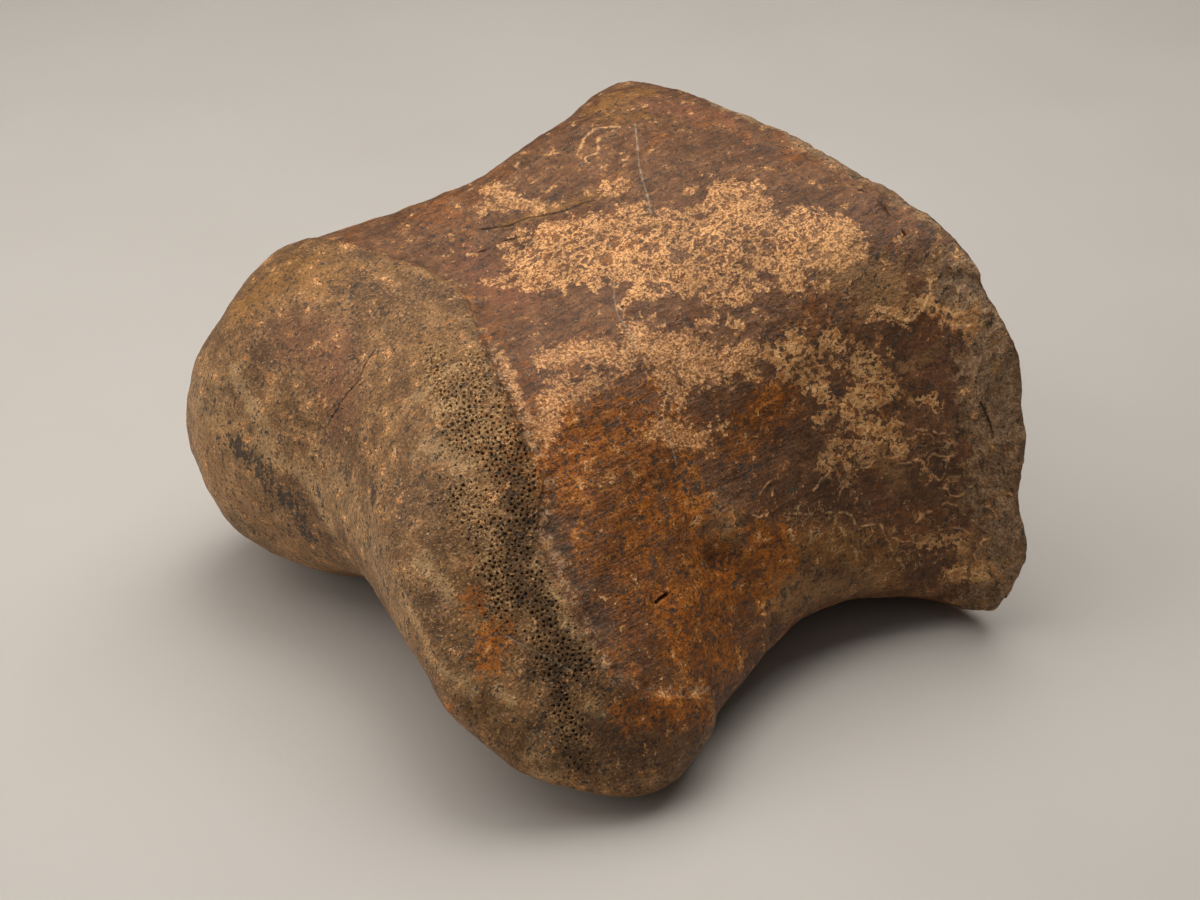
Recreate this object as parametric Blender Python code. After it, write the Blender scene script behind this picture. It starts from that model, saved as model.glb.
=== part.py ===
"""Fossil toe bone of a duck-billed dinosaur: the first phalanx of a hind toe, as one solid.

Frame in millimetres until the mesh is made: X runs from the rounded far end (-X) to the flat
end that met the foot (+X), -Y is the flank that faces the viewer, Z is up and the floor is z = 0.
"""

import bmesh
import bpy
import numpy as np

# Sizes along the bone: the first row holds x stations, the second the size there.
TOP_HEIGHT = ((-60, -30, 0, 38, 58), (77.3, 76.8, 78.5, 84.5, 84.4))
TOP_LEAN_NEAR = ((-60, -30, 8, 58), (0.02, 0.061, 0.138, 0.002))
TOP_LEAN_FAR = ((-60, -28, 15, 58), (0.121, 0.076, 0.006, 0.164))
TOP_LEAN_FROM = 25.0
TOP_LEAN_BLEND = (30, 20)
NEAR_FOOT = ((-60, -32, -5, 25, 45, 59), (-51.9, -63.4, -55.0, -49.0, -52.5, -69.2))
NEAR_SLOPE = ((-60, -28, 14, 58), (1.04, 0.87, 0.527, 0.078))
NEAR_SLOPE_FROM = 14.0
NEAR_SLOPE_BLEND = 20
NEAR_CURL = ((20, 58), (0.0, 0.0035))
NEAR_CURL_Z = 20
FAR_FOOT = ((-60, -30, 3, 25, 43, 58), (68.0, 68.0, 54.4, 54.8, 61.1, 64.8))
FAR_SLOPE = ((-60, -30, 30, 58), (0.12, 0.106, 0.053, -0.019))
FAR_CURL = ((20, 58), (0.0, 0.001))
FAR_CURL_Z = 35
ARCH_HEIGHT = ((-50, -30, -8, 18, 38, 52, 58), (-7.1, -6.6, 0.4, 8.6, 5.5, 1.4, -2.2))
NEAR_EDGE_BLEND = ((-60, -30, 10, 45, 58), (26, 24, 18, 16.9, 21.1))
FAR_EDGE_BLEND = 14.0
ARCH_EDGE_BLEND = ((-30, 10, 50), (28, 18, 10))

# The two condyles are one roller lying across the bone: sizes against y.
ROLLER_RADIUS = ((-58, -38, -10, 14, 30, 45, 60), (42.2, 36.6, 34.6, 33.8, 36.3, 37.9, 34.5))
ROLLER_X = ((-50, 14, 50), (-30.8, -20.5, -24.5))
ROLLER_Z = ((-50, 14, 50), (38.3, 36.2, 35.5))
ROLLER_OPENS = 60.0
ROLLER_BLEND = 10.0

# The flat end, a shallow dish with a rounded lip.
FACE_X = 59.3
FACE_BULGE = 0.0006
FACE_MIDDLE_Z = 45
DISH_DEPTH = 3.5
DISH_AT = (0, 42)
DISH_REACH = (40, 28)
LIP_BLEND = 7.0

# Hollows: centre, reach and depth.
NEAR_PIT = ((-2.0, 26.0), 9.0, 2.2)
FAR_PIT = ((-10.0, 36.0), 10.0, 3.0)
UNDER_VALLEY = ((-28.0, 12.0), (26.0, 15.0), 5.0)
UNDER_VALLEY_HEIGHT = 22
FLOOR_BLEND = 1.0

# The far joint surface stands proud of the shaft along its edge. The edge's x is given for
# angles round a line along the bone, from +Y over the top, and the step fades away from it.
JOINT_EDGE_TURN = (5, 34, 47, 61, 82, 103, 128, 146, 163, 176, 189, 193, 202, 225, 270, 310, 345, 365)
JOINT_EDGE_X = (
    -30.4, -30.3, -23.3, -19.9, -24.4, -28.8, -32.4, -33.7, -38.4,
    -38.6, -37.6, -33.1, -17.6, -16.4, -13.4, -17.4, -27.4, -30.4,
)
JOINT_EDGE_AXIS = (1.35, 38.0)
JOINT_STEP = 0.8
JOINT_STEP_WIDTH = 3.0
JOINT_STEP_FADES = (3.0, 17.0)
JOINT_STEP_OFF_FLOOR = (4.0, 14.0)

# Smaller swellings and hollows: place, reach and height, with hollows below zero.
SWELLS = (
    ((-2.4, -39.6, 34.5), 4.8, -1.5),    # worn hole in the near pit
    ((3.3, -37.4, 38.7), 5.0, 0.8),      # ledge over it
    ((0.4, -29.0, 52.3), 9.0, -0.7),     # pit above the ledge
    ((-5.9, -22.0, 60.1), 9.0, 0.5),     # near shoulder
    ((-11.5, 22.3, 71.5), 7.0, -0.6),    # top, behind the joint surface
    ((9.2, 38.4, 79.0), 3.0, 0.9),       # knob on the far top edge
    ((18.7, 36.0, 81.3), 5.0, -0.5),
    ((44.0, 42.0, 84.0), 7.0, 0.7),      # far corner of the flat end
    ((51.3, -51.9, 56.5), 4.2, 0.3),     # knobs and chips along the rim
    ((52.3, -56.8, 45.1), 4.5, 0.5),
    ((51.7, -58.1, 34.5), 3.8, -0.6),
    ((53.0, -61.6, 21.6), 4.5, 0.3),
    ((51.4, -37.6, 79.3), 4.2, 0.5),
    ((53.0, -26.2, 83.5), 4.2, -1.0),
    ((49.8, -14.4, 84.0), 4.2, -0.8),
    ((49.8, 1.1, 84.2), 4.5, -0.6),
)
# Uneven ground: directions of the waves, their lengths and their height.
WAVES = (((0.9, 0.3, 0.3), 23.0), ((-0.3, 0.8, 0.5), 19.0), ((0.4, -0.5, 0.8), 16.0))
WAVE_HEIGHT = 0.14
RELIEF_OFF_FLOOR = (1, 6)

# The lip of the flat end is broken into knobs and chips, drawn at random round it.
RIM_KNOBS = 34
RIM_AXIS = (1.0, 42.0)
RIM_HALF = (63.0, 42.0)
RIM_STARTS = (0.74, 0.94)
RIM_KNOB_X = (50.0, 57.5)
RIM_KNOB_REACH = (3.2, 5.5)
RIM_KNOB_HEIGHT = (-0.5, 0.35)

# Meshing.
LOWEST = np.array([-75.0, -82.0, -6.0])
HIGHEST = np.array([75.0, 82.0, 96.0])
CELL = 1.5
TRIANGLES = 11800
COLOUR = (0.17, 0.085, 0.04, 1.0)


def along(at, table):
    """A smooth curve through the table's knots, level beyond its ends."""
    knots = np.array(table[0], float)
    sizes = np.array(table[1], float)
    rise = np.diff(sizes) / np.diff(knots)
    lean = np.zeros(len(knots))
    for i in range(1, len(knots) - 1):
        if rise[i - 1] * rise[i] > 0:
            lean[i] = 2 * rise[i - 1] * rise[i] / (rise[i - 1] + rise[i])
    at = np.clip(at, knots[0], knots[-1])
    i = np.clip(np.searchsorted(knots, at) - 1, 0, len(knots) - 2)
    gap = np.diff(knots)[i]
    t = (at - knots[i]) / gap
    return (
        (2 * t**3 - 3 * t**2 + 1) * sizes[i]
        + (t**3 - 2 * t**2 + t) * gap * lean[i]
        + (3 * t**2 - 2 * t**3) * sizes[i + 1]
        + (t**3 - t**2) * gap * lean[i + 1]
    )


def meet(a, b, blend):
    """What is inside both a and b, with the edge between them rounded."""
    near = np.maximum(blend - np.abs(a - b), 0) / blend
    return np.maximum(a, b) + near * near * blend / 4


def bell(*terms):
    """A smooth hump, 1 in the middle. Each term is a value, its centre and its reach."""
    return np.exp(-sum(((value - centre) / reach) ** 2 for value, centre, reach in terms))


def ramp(value, start, end):
    """From 0 at the start to 1 at the end, level beyond them."""
    t = np.clip((value - start) / (end - start), 0, 1)
    return t * t * (3 - 2 * t)


def broken_rim(x, y, z):
    """Knobs and chips along the lip, placed by x and by the length round it."""
    random = np.random.default_rng(4)
    across, up = (y - RIM_AXIS[0]) / RIM_HALF[0], (z - RIM_AXIS[1]) / RIM_HALF[1]
    whole = np.pi * sum(RIM_HALF)
    round_lip = whole * np.arctan2(up, across) / (2 * np.pi)
    height = 0
    for _ in range(RIM_KNOBS):
        at_x, at, reach, rise = (
            random.uniform(*span) for span in (RIM_KNOB_X, (0, whole), RIM_KNOB_REACH, RIM_KNOB_HEIGHT)
        )
        away = (round_lip - at + whole / 2) % whole - whole / 2
        height = height + rise * bell((x, at_x, reach), (away, 0, reach))
    return height * ramp(np.hypot(across, up), *RIM_STARTS)


def relief(points):
    """How far the surface stands above its smooth form, in millimetres."""
    x, y, z = points[..., 0], points[..., 1], points[..., 2]
    axis_y, axis_z = JOINT_EDGE_AXIS
    turn = np.degrees(np.arctan2(z - axis_z, y - axis_y))
    turn = np.where(turn < JOINT_EDGE_TURN[0], turn + 360, turn)
    past = along(turn, (JOINT_EDGE_TURN, JOINT_EDGE_X)) - x
    height = JOINT_STEP * ramp(past, -JOINT_STEP_WIDTH / 2, JOINT_STEP_WIDTH / 2)
    height = height * (1 - ramp(past, *JOINT_STEP_FADES)) * ramp(z, *JOINT_STEP_OFF_FLOOR)
    for (at_x, at_y, at_z), reach, rise in SWELLS:
        height = height + rise * bell((x, at_x, reach), (y, at_y, reach), (z, at_z, reach))
    for way, length in WAVES:
        height = height + WAVE_HEIGHT * np.sin(points @ np.array(way) * 2 * np.pi / length)
    return (height + broken_rim(x, y, z)) * ramp(z, *RELIEF_OFF_FLOOR)


def bone(points):
    """Below zero inside the bone, above zero outside it, about the distance in millimetres."""
    x, y, z = points[..., 0], points[..., 1], points[..., 2]

    near_lean = along(x, TOP_LEAN_NEAR) * meet(TOP_LEAN_FROM - y, 0 * y, TOP_LEAN_BLEND[0])
    far_lean = along(x, TOP_LEAN_FAR) * meet(y - TOP_LEAN_FROM, 0 * y, TOP_LEAN_BLEND[1])
    top = z - (along(x, TOP_HEIGHT) - near_lean - far_lean)

    slope = along(x, NEAR_SLOPE)
    rise = meet(z - NEAR_SLOPE_FROM, 0 * z, NEAR_SLOPE_BLEND)
    flank = along(x, NEAR_FOOT) + slope * rise + along(x, NEAR_CURL) * (z - NEAR_CURL_Z) ** 2
    near = (flank - y) / np.sqrt(1 + slope**2)

    slope = along(x, FAR_SLOPE)
    flank = along(x, FAR_FOOT) - slope * z - along(x, FAR_CURL) * (z - FAR_CURL_Z) ** 2
    far = (y - flank) / np.sqrt(1 + slope**2)

    (valley_x, valley_y), (reach_x, reach_y), valley_depth = UNDER_VALLEY
    valley = bell((x, valley_x, reach_x), (y, valley_y, reach_y), (z, 0, UNDER_VALLEY_HEIGHT))
    under = along(x, ARCH_HEIGHT) - z

    # Behind its axis the roller opens out, so that it trims only the far end.
    roller_x, roller_z = along(y, ROLLER_X), along(y, ROLLER_Z)
    ahead = np.hypot(x - roller_x, z - roller_z)
    behind = np.abs(z - roller_z) - (x - roller_x) ** 2 / ROLLER_OPENS
    roller = np.where(x < roller_x, ahead, behind) - along(y, ROLLER_RADIUS)

    face = FACE_X - FACE_BULGE * (y**2 + 2 * (z - FACE_MIDDLE_Z) ** 2)
    dish = DISH_DEPTH * bell((y, DISH_AT[0], DISH_REACH[0]), (z, DISH_AT[1], DISH_REACH[1]))
    face = x - (face - dish)

    body = meet(top, far, FAR_EDGE_BLEND)
    body = meet(body, near, along(x, NEAR_EDGE_BLEND))
    body = meet(body, under, along(x, ARCH_EDGE_BLEND))
    body = meet(body, roller, ROLLER_BLEND) + valley_depth * valley
    body = meet(body, face, LIP_BLEND)

    (pit_x, pit_z), reach, depth = NEAR_PIT
    body = body + depth * bell((x, pit_x, reach), (z, pit_z, reach)) * (y < 0)
    (pit_x, pit_z), reach, depth = FAR_PIT
    body = body + depth * bell((x, pit_x, reach), (z, pit_z, reach)) * (y > 0)
    return meet(body - relief(points), -z, FLOOR_BLEND)


def cells_crossed(field):
    """One point in each grid cell that the surface crosses, and a quad round each crossed edge."""
    counts = np.ceil((HIGHEST - LOWEST) / CELL).astype(int) + 1
    axes = [LOWEST[k] + CELL * np.arange(counts[k]) for k in range(3)]
    value = field(np.stack(np.meshgrid(*axes, indexing="ij"), -1))
    inside = value < 0
    corners = [np.array([i, j, k]) for i in (0, 1) for j in (0, 1) for k in (0, 1)]

    def corner_of(grid, offset):
        return grid[tuple(slice(o, n - 1 + o) for o, n in zip(offset, grid.shape))]

    held = sum(corner_of(inside, c).astype(int) for c in corners)
    crossed = (held > 0) & (held < 8)
    total = np.zeros(crossed.shape + (3,))
    number = np.zeros(crossed.shape)
    for start in corners:
        for k in range(3):
            if start[k]:
                continue
            end = start.copy()
            end[k] = 1
            a, b = corner_of(value, start), corner_of(value, end)
            hit = (a < 0) != (b < 0)
            share = np.where(hit, a / np.where(hit, a - b, 1), 0)
            for m in range(3):
                total[..., m] += np.where(hit, start[m] + (share if m == k else 0), 0)
            number += hit

    index = np.full(crossed.shape, -1)
    index[crossed] = np.arange(crossed.sum())
    middle = total[crossed] / number[crossed][:, None]
    points = LOWEST + CELL * (np.argwhere(crossed) + middle)

    quads = []
    for k in range(3):
        before, after = [slice(None)] * 3, [slice(None)] * 3
        before[k], after[k] = slice(0, -1), slice(1, None)
        first = inside[tuple(before)]
        edges = np.argwhere(first != inside[tuple(after)])
        outward = first[tuple(edges.T)]
        ring = []
        for du, dv in ((0, 0), (-1, 0), (-1, -1), (0, -1)):
            cell = edges.copy()
            cell[:, (k + 1) % 3] += du
            cell[:, (k + 2) % 3] += dv
            ring.append(index[tuple(cell.T)])
        ring = np.stack(ring, 1)
        ring[~outward] = ring[~outward][:, ::-1]
        quads.append(ring)
    return points, np.concatenate(quads)


def settle(field, points, rounds=4, step=0.05):
    """Moves each point along the slope of the field until it lies on the surface."""
    for _ in range(rounds):
        slope = np.zeros_like(points)
        for k in range(3):
            shift = step * np.eye(3)[k]
            slope[:, k] = (field(points + shift) - field(points - shift)) / (2 * step)
        steepness = np.maximum((slope**2).sum(1, keepdims=True), 0.2)
        points = points - np.clip(field(points)[:, None] * slope / steepness, -1, 1)
    return points


def clear_scene():
    for obj in list(bpy.data.objects):
        bpy.data.objects.remove(obj, do_unlink=True)


def stone_material():
    material = bpy.data.materials.new("fossil bone")
    material.use_nodes = True
    shader = material.node_tree.nodes["Principled BSDF"]
    shader.inputs["Base Color"].default_value = COLOUR
    shader.inputs["Roughness"].default_value = 0.6
    return material


def toe_bone():
    points, quads = cells_crossed(bone)
    points = settle(bone, points)
    # The bone stands on the floor with the middle of its footprint at the origin.
    low, high = points.min(0), points.max(0)
    points -= np.array([(low[0] + high[0]) / 2, (low[1] + high[1]) / 2, low[2]])

    mesh = bpy.data.meshes.new("toe_bone")
    mesh.from_pydata((points / 1000).tolist(), [], quads.tolist())
    build = bmesh.new()
    build.from_mesh(mesh)
    bmesh.ops.triangulate(build, faces=build.faces[:])
    bmesh.ops.recalc_face_normals(build, faces=build.faces[:])
    share = TRIANGLES / len(build.faces)
    for face in build.faces:
        face.smooth = True
    build.to_mesh(mesh)
    build.free()
    mesh.materials.append(stone_material())

    obj = bpy.data.objects.new("toe_bone", mesh)
    thin = obj.modifiers.new("fewer triangles", "DECIMATE")
    thin.ratio = share
    return obj


clear_scene()
group = bpy.data.collections.new("hadrosaur toe bone")
bpy.context.scene.collection.children.link(group)
group.objects.link(toe_bone())
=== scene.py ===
import math

import bmesh
import bpy
import numpy as np
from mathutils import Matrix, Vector
from mathutils.bvhtree import BVHTree
from mathutils.kdtree import KDTree


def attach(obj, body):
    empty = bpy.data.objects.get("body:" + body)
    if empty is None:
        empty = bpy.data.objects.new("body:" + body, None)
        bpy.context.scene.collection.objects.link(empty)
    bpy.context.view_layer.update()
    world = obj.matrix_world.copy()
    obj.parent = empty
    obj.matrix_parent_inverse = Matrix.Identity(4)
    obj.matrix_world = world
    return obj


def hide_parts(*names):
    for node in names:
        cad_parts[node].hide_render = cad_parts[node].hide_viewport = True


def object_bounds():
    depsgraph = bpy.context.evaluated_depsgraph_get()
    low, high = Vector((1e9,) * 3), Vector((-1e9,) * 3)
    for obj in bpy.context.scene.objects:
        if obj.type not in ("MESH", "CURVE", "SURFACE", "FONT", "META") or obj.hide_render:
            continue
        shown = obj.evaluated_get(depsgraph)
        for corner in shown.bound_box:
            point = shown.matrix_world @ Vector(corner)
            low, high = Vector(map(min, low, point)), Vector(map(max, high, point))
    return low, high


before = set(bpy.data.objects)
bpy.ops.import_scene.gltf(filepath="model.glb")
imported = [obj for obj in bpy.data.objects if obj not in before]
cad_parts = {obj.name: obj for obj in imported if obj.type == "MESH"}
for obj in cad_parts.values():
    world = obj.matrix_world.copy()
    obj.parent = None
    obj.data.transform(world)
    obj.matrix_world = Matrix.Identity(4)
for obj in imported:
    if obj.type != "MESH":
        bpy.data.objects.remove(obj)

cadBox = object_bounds()
mm = 0.001
print("frame loaded, bone box in mm:", [[round(c / mm, 1) for c in corner] for corner in cadBox])


# camera, as the photograph was taken

photoView = {
    "turn": -38.8,        # degrees round the bone, 0 looks along +Y
    "tilt": 34.0,         # degrees above the floor
    "lens": 75.0,
    "sensor": 36.0,
    "distance": 490,      # mm
    "aim": (2.06, -1.58, 35),
    "wide": 1200,
    "high": 900,
}


def viewAxes():
    turn, tilt = math.radians(photoView["turn"]), math.radians(photoView["tilt"])
    back = Vector((math.sin(turn) * math.cos(tilt), -math.cos(turn) * math.cos(tilt), math.sin(tilt)))
    right = Vector((math.cos(turn), math.sin(turn), 0))
    return right, back.cross(right), back


def placeCamera():
    right, up, back = viewAxes()
    data = bpy.data.cameras.new("photo camera")
    data.lens = photoView["lens"]
    data.sensor_width = photoView["sensor"]
    data.clip_start = 0.01
    camera = bpy.data.objects.new("photo camera", data)
    bpy.context.scene.collection.objects.link(camera)
    camera.location = (Vector(photoView["aim"]) + back * photoView["distance"]) * mm
    camera.rotation_euler = (-back).to_track_quat("-Z", "Y").to_euler()
    bpy.context.scene.camera = camera
    return camera


camera = placeCamera()
print("camera placed")


# small tools for shaping

def fade(value, start, end):
    t = np.clip((value - start) / (end - start), 0, 1)
    return t * t * (3 - 2 * t)


def hump(value, reach):
    return np.exp(-(value / reach) ** 2)


def softNoise(points, size, seed, layers=3, stretch=(1, 1, 1)):
    # lattice noise from -1 to 1, in as many layers as asked, each half the size of the last
    table = (np.random.default_rng(seed).random(8192) * 2 - 1).astype(np.float32)
    total, weight, reach = np.zeros(len(points), np.float32), 1.0, size
    for layer in range(layers):
        at = points / (reach * np.array(stretch)) + 17.3 * layer
        cell = np.floor(at).astype(np.int32)
        t = (at - cell).astype(np.float32)
        t = t * t * (3 - 2 * t)
        for i in (0, 1):
            for j in (0, 1):
                for k in (0, 1):
                    mixed = (cell[:, 0] + i) * 73856 ^ (cell[:, 1] + j) * 19349 ^ (cell[:, 2] + k) * 83492
                    share = (t[:, 0] if i else 1 - t[:, 0]) * (t[:, 1] if j else 1 - t[:, 1])
                    total += weight * share * (t[:, 2] if k else 1 - t[:, 2]) * table[(mixed ^ mixed >> 11) & 8191]
        weight *= 0.5
        reach *= 0.5
    return total / (2 - 2 ** (1 - layers))


def lineDistance(points, line):
    # shortest distance from each point to a line through the given spots
    line = np.asarray(line)
    if len(line) == 1:
        return np.linalg.norm(points - line[0], axis=1)
    nearest = np.full(len(points), 1e9)
    for a, b in zip(line[:-1], line[1:]):
        span = b - a
        t = np.clip((points - a) @ span / max(span @ span, 1e-12), 0, 1)
        nearest = np.minimum(nearest, np.linalg.norm(points - a - t[:, None] * span, axis=1))
    return nearest


def smoothCurve(value, knots, heights):
    # a curve through the knots that never overshoots them
    knots, heights = np.array(knots, float), np.array(heights, float)
    gaps = np.diff(knots)
    rise = np.diff(heights) / gaps
    lean = np.zeros(len(knots))
    same = rise[:-1] * rise[1:] > 0
    lean[1:-1][same] = (2 * rise[:-1] * rise[1:] / (rise[:-1] + rise[1:] + 1e-12))[same]
    value = np.clip(value, knots[0], knots[-1])
    i = np.clip(np.searchsorted(knots, value) - 1, 0, len(knots) - 2)
    t = (value - knots[i]) / gaps[i]
    return (
        (2 * t**3 - 3 * t**2 + 1) * heights[i] + (t**3 - 2 * t**2 + t) * gaps[i] * lean[i]
        + (3 * t**2 - 2 * t**3) * heights[i + 1] + (t**3 - t**2) * gaps[i] * lean[i + 1]
    )


# skin: a fine copy of the bone, all sizes in mm

skinShape = {
    "voxel": 0.5,
    "smoothing": 16,      # passes that melt the facets of the model
    "fineCuts": 2,        # extra cuts where pores, cracks and root marks are
    "lumps": (0.34, 8.0),         # height and size, also of the next lines that give two numbers
    "dents": (0.24, 3.6),
    "grit": (0.12, 1.5),
    "grain": (0.10, 1.3, 5.0),    # height, width and how many times longer it is along the bone
    "edgeWander": (0.7, 3.0),     # how far the joint surface's edge strays
    "step": 0.30,         # crisp edge of the joint surface, on top of the solid's own step
    "stepSoft": 0.7,
    "stepEnds": (1.5, 9),         # mm past the edge where the step has sunk back
    "fringe": (0.45, 1.7),        # torn edge just behind the step
    "fringeBand": (1.6, 1.5),     # how far behind, and how wide
    "rimFrom": (47.5, 54.0),      # x where the crushed rim begins and where it is full
    "rimTopLean": 3.0,            # it begins this much later on the top
    "rimWander": (3.5, 8.0),
    "rimRough": (0.75, 3.4),
    "rimKnobs": (0.2, 6.0),
    "faceRough": (0.3, 2.4),
    "sponge": (0.16, 0.9),
    "poreSizes": (0.10, 0.23),
    "poreSpacing": (1.7, 0.84),   # from the edge of a worn place to its middle
    "poreDepth": 0.5,
    "rootHeight": 0.14,
}


def evaluated(obj, name):
    mesh = bpy.data.meshes.new_from_object(obj.evaluated_get(bpy.context.evaluated_depsgraph_get()))
    mesh.name = name
    return mesh


def coordinates(mesh):
    flat = np.empty(len(mesh.vertices) * 3, np.float32)
    mesh.vertices.foreach_get("co", flat)
    return flat.reshape(-1, 3).astype(float)


def vertexNormals(mesh):
    flat = np.empty(len(mesh.vertices) * 3, np.float32)
    mesh.vertex_normals.foreach_get("vector", flat)
    return flat.reshape(-1, 3).astype(float)


def copyOfBone():
    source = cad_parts["toe_bone"]
    skin = bpy.data.objects.new("bone_skin", source.data.copy())
    bpy.context.scene.collection.objects.link(skin)
    remesh = skin.modifiers.new("even mesh", "REMESH")
    remesh.mode = "VOXEL"
    remesh.voxel_size = skinShape["voxel"] * mm
    smooth = skin.modifiers.new("melt facets", "SMOOTH")
    smooth.factor = 0.5
    smooth.iterations = skinShape["smoothing"]
    mesh = evaluated(skin, "bone_skin")
    skin.modifiers.clear()
    skin.data = mesh
    return skin


skin = copyOfBone()
skinTree = BVHTree.FromPolygons([v.co for v in skin.data.vertices], [p.vertices for p in skin.data.polygons])
print("even skin:", len(skin.data.vertices), "points")


def onBone(x, y):
    # where the line of sight through a photo pixel meets the bone
    right, up, back = viewAxes()
    reach = photoView["lens"] / photoView["sensor"] * photoView["wide"]
    ray = right * ((x - photoView["wide"] / 2) / reach) - up * ((y - photoView["high"] / 2) / reach) - back
    hit = skinTree.ray_cast(camera.location, ray.normalized())
    return None if hit[0] is None else np.array(hit[0]) / mm


def stroke(*pixels):
    found = [onBone(x, y) for x, y in pixels]
    return [spot for spot in found if spot is not None]


def roundedLine(line):
    # the same line with three more spots on each stretch and no corners
    if len(line) < 3:
        return line
    line = [line[0], *line, line[-1]]
    spots = []
    for a, b, c, d in zip(line[:-3], line[1:-2], line[2:-1], line[3:]):
        for t in (0, 0.25, 0.5, 0.75):
            spots.append(b + 0.5 * t * (c - a + t * (2 * a - 5 * b + 4 * c - d + t * (3 * b - a - 3 * c + d))))
    return [*spots, line[-1]]


# edge of the far-end joint surface: x in mm for each angle round a line along the bone
jointEdge = {
    "turns": (5, 34, 47, 61, 82, 103, 128, 146, 163, 176, 189, 193, 202, 225, 270, 310, 345, 365),
    "x": (-30.4, -30.3, -23.3, -19.9, -24.4, -28.8, -32.4, -33.7, -38.4,
          -38.6, -37.6, -33.1, -17.6, -16.4, -13.4, -17.4, -27.4, -30.4),
    "moved": 2.06,        # from the model's working place to the middle of its box
    "axis": (-0.23, 38.0),
}


def pastEdge(at):
    # mm towards the rounded end from the edge of the joint surface
    axisY, axisZ = jointEdge["axis"]
    turns = np.degrees(np.arctan2(at[:, 2] - axisZ, at[:, 1] - axisY))
    turns = np.where(turns < jointEdge["turns"][0], turns + 360, turns)
    return smoothCurve(turns, jointEdge["turns"], jointEdge["x"]) + jointEdge["moved"] - at[:, 0]


# marks that are cut or raised in the skin, by photo pixel, with widths and heights in mm
marks = {
    "pores": (            # worn spongy bone: strokes and their reach
        (((436, 352), (452, 400), (462, 440)), 4.5),
        (((470, 362), (482, 410), (500, 470)), 5.0),
        (((500, 400), (516, 450), (522, 520)), 5.0),
        (((470, 500), (500, 540), (510, 600)), 6.0),
        (((520, 560), (545, 610), (580, 665)), 4.5),
        (((540, 640), (560, 700), (580, 760)), 3.6),
    ),
    "paleCracks": (       # strokes, half width, depth
        (((635, 124), (637, 143), (639, 165), (642, 179), (647, 194), (651, 213)), 0.18, 0.10),
        (((614, 282), (614, 298), (618, 315), (625, 327), (633, 339), (636, 350)), 0.13, 0.06),
        (((655, 410), (666, 426), (671, 442), (677, 464)), 0.13, 0.12),
        (((505, 635), (524, 645), (545, 656), (570, 670)), 0.14, 0.12),
    ),
    "darkCracks": (
        (((657, 602), (661, 598), (667, 594)), 0.34, 0.90),
        (((375, 350), (366, 364), (358, 382), (346, 396), (332, 418)), 0.14, 0.20),
        (((480, 252), (504, 240), (528, 235)), 0.14, 0.25),
        (((482, 229), (509, 225), (528, 218), (565, 211), (587, 201), (616, 194)), 0.15, 0.25),
        (((980, 403), (990, 425), (993, 438)), 0.25, 0.50),
        (((860, 190), (885, 205), (905, 235)), 0.30, 0.50),
    ),
    "swells": (           # spot, reach, height
        ((714, 556), 2.4, -1.2),
        ((729, 535), 2.4, 0.9),
        ((722, 515), 2.0, 0.4),
        ((800, 512), 3.0, 0.3),
        ((850, 560), 6.0, 0.4),
        ((645, 147), 1.6, -0.5),
        ((515, 172), 2.0, 0.5),
        ((595, 150), 2.5, 0.3),
        ((888, 212), 3.2, -0.9),
        ((915, 250), 2.6, 0.5),
        ((845, 178), 2.4, -0.5),
        ((795, 152), 2.8, -0.4),
        ((985, 382), 2.6, 0.5),
        ((1002, 440), 3.0, 0.7),
        ((1000, 490), 2.2, -0.5),
        ((1012, 550), 3.0, 0.5),
        ((965, 410), 2.0, 0.3),
        ((555, 410), 2.2, 0.3),
        ((590, 355), 3.0, 0.2),
        ((600, 500), 7.0, 0.3),
        ((690, 640), 6.0, 0.3),
        ((470, 640), 3.0, -0.3),
    ),
    "roots": (            # thin raised lines left by roots: strokes, half width
        (((890, 429), (898, 422), (908, 425), (919, 429), (934, 430), (944, 431), (962, 431)), 0.26),
        (((903, 441), (913, 435), (929, 435), (935, 438), (934, 444)), 0.26),
        (((896, 457), (903, 462), (919, 459), (924, 465), (931, 454), (944, 457), (957, 452)), 0.28),
        (((934, 477), (941, 480), (947, 465), (949, 454)), 0.26),
        (((944, 485), (952, 495), (962, 493), (974, 484)), 0.24),
        (((809, 514), (829, 513), (847, 515), (860, 526), (878, 523), (883, 531), (893, 554), (903, 564)), 0.28),
        (((829, 518), (840, 528), (850, 546), (856, 558)), 0.34),
        (((742, 514), (760, 517), (780, 512), (809, 514)), 0.24),
        (((893, 538), (913, 542), (924, 533), (944, 528), (962, 528), (970, 533)), 0.22),
        (((909, 542), (930, 545), (950, 549), (966, 546)), 0.20),
        (((916, 523), (929, 513), (944, 505), (957, 505)), 0.24),
        (((962, 515), (975, 521), (990, 515)), 0.22),
        (((978, 560), (981, 545), (988, 538)), 0.26),
        (((952, 572), (968, 570), (984, 578)), 0.30),
        (((829, 471), (820, 484), (813, 490)), 0.24),
        (((849, 474), (843, 488), (838, 499)), 0.24),
        (((866, 466), (880, 456), (893, 457)), 0.30),
        (((877, 308), (893, 314), (908, 320), (922, 312), (929, 296), (928, 281)), 0.40),
        (((897, 289), (908, 294), (921, 287)), 0.24),
        (((775, 480), (764, 487), (757, 497)), 0.20),
        (((578, 152), (583, 138), (598, 128), (618, 128)), 0.45),
        (((586, 160), (596, 152), (598, 140)), 0.40),
        (((517, 163), (516, 180), (508, 186), (492, 186)), 0.35),
        (((492, 200), (520, 199), (532, 203), (541, 209)), 0.45),
    ),
}
poreLines = [(stroke(*pixels), reach) for pixels, reach in marks["pores"]]
crackLines = {
    name: [(stroke(*pixels), *rest) for pixels, *rest in marks[name]]
    for name in ("paleCracks", "darkCracks")
}
rootLines = [(roundedLine(stroke(*pixels)), width) for pixels, width in marks["roots"]]


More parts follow.
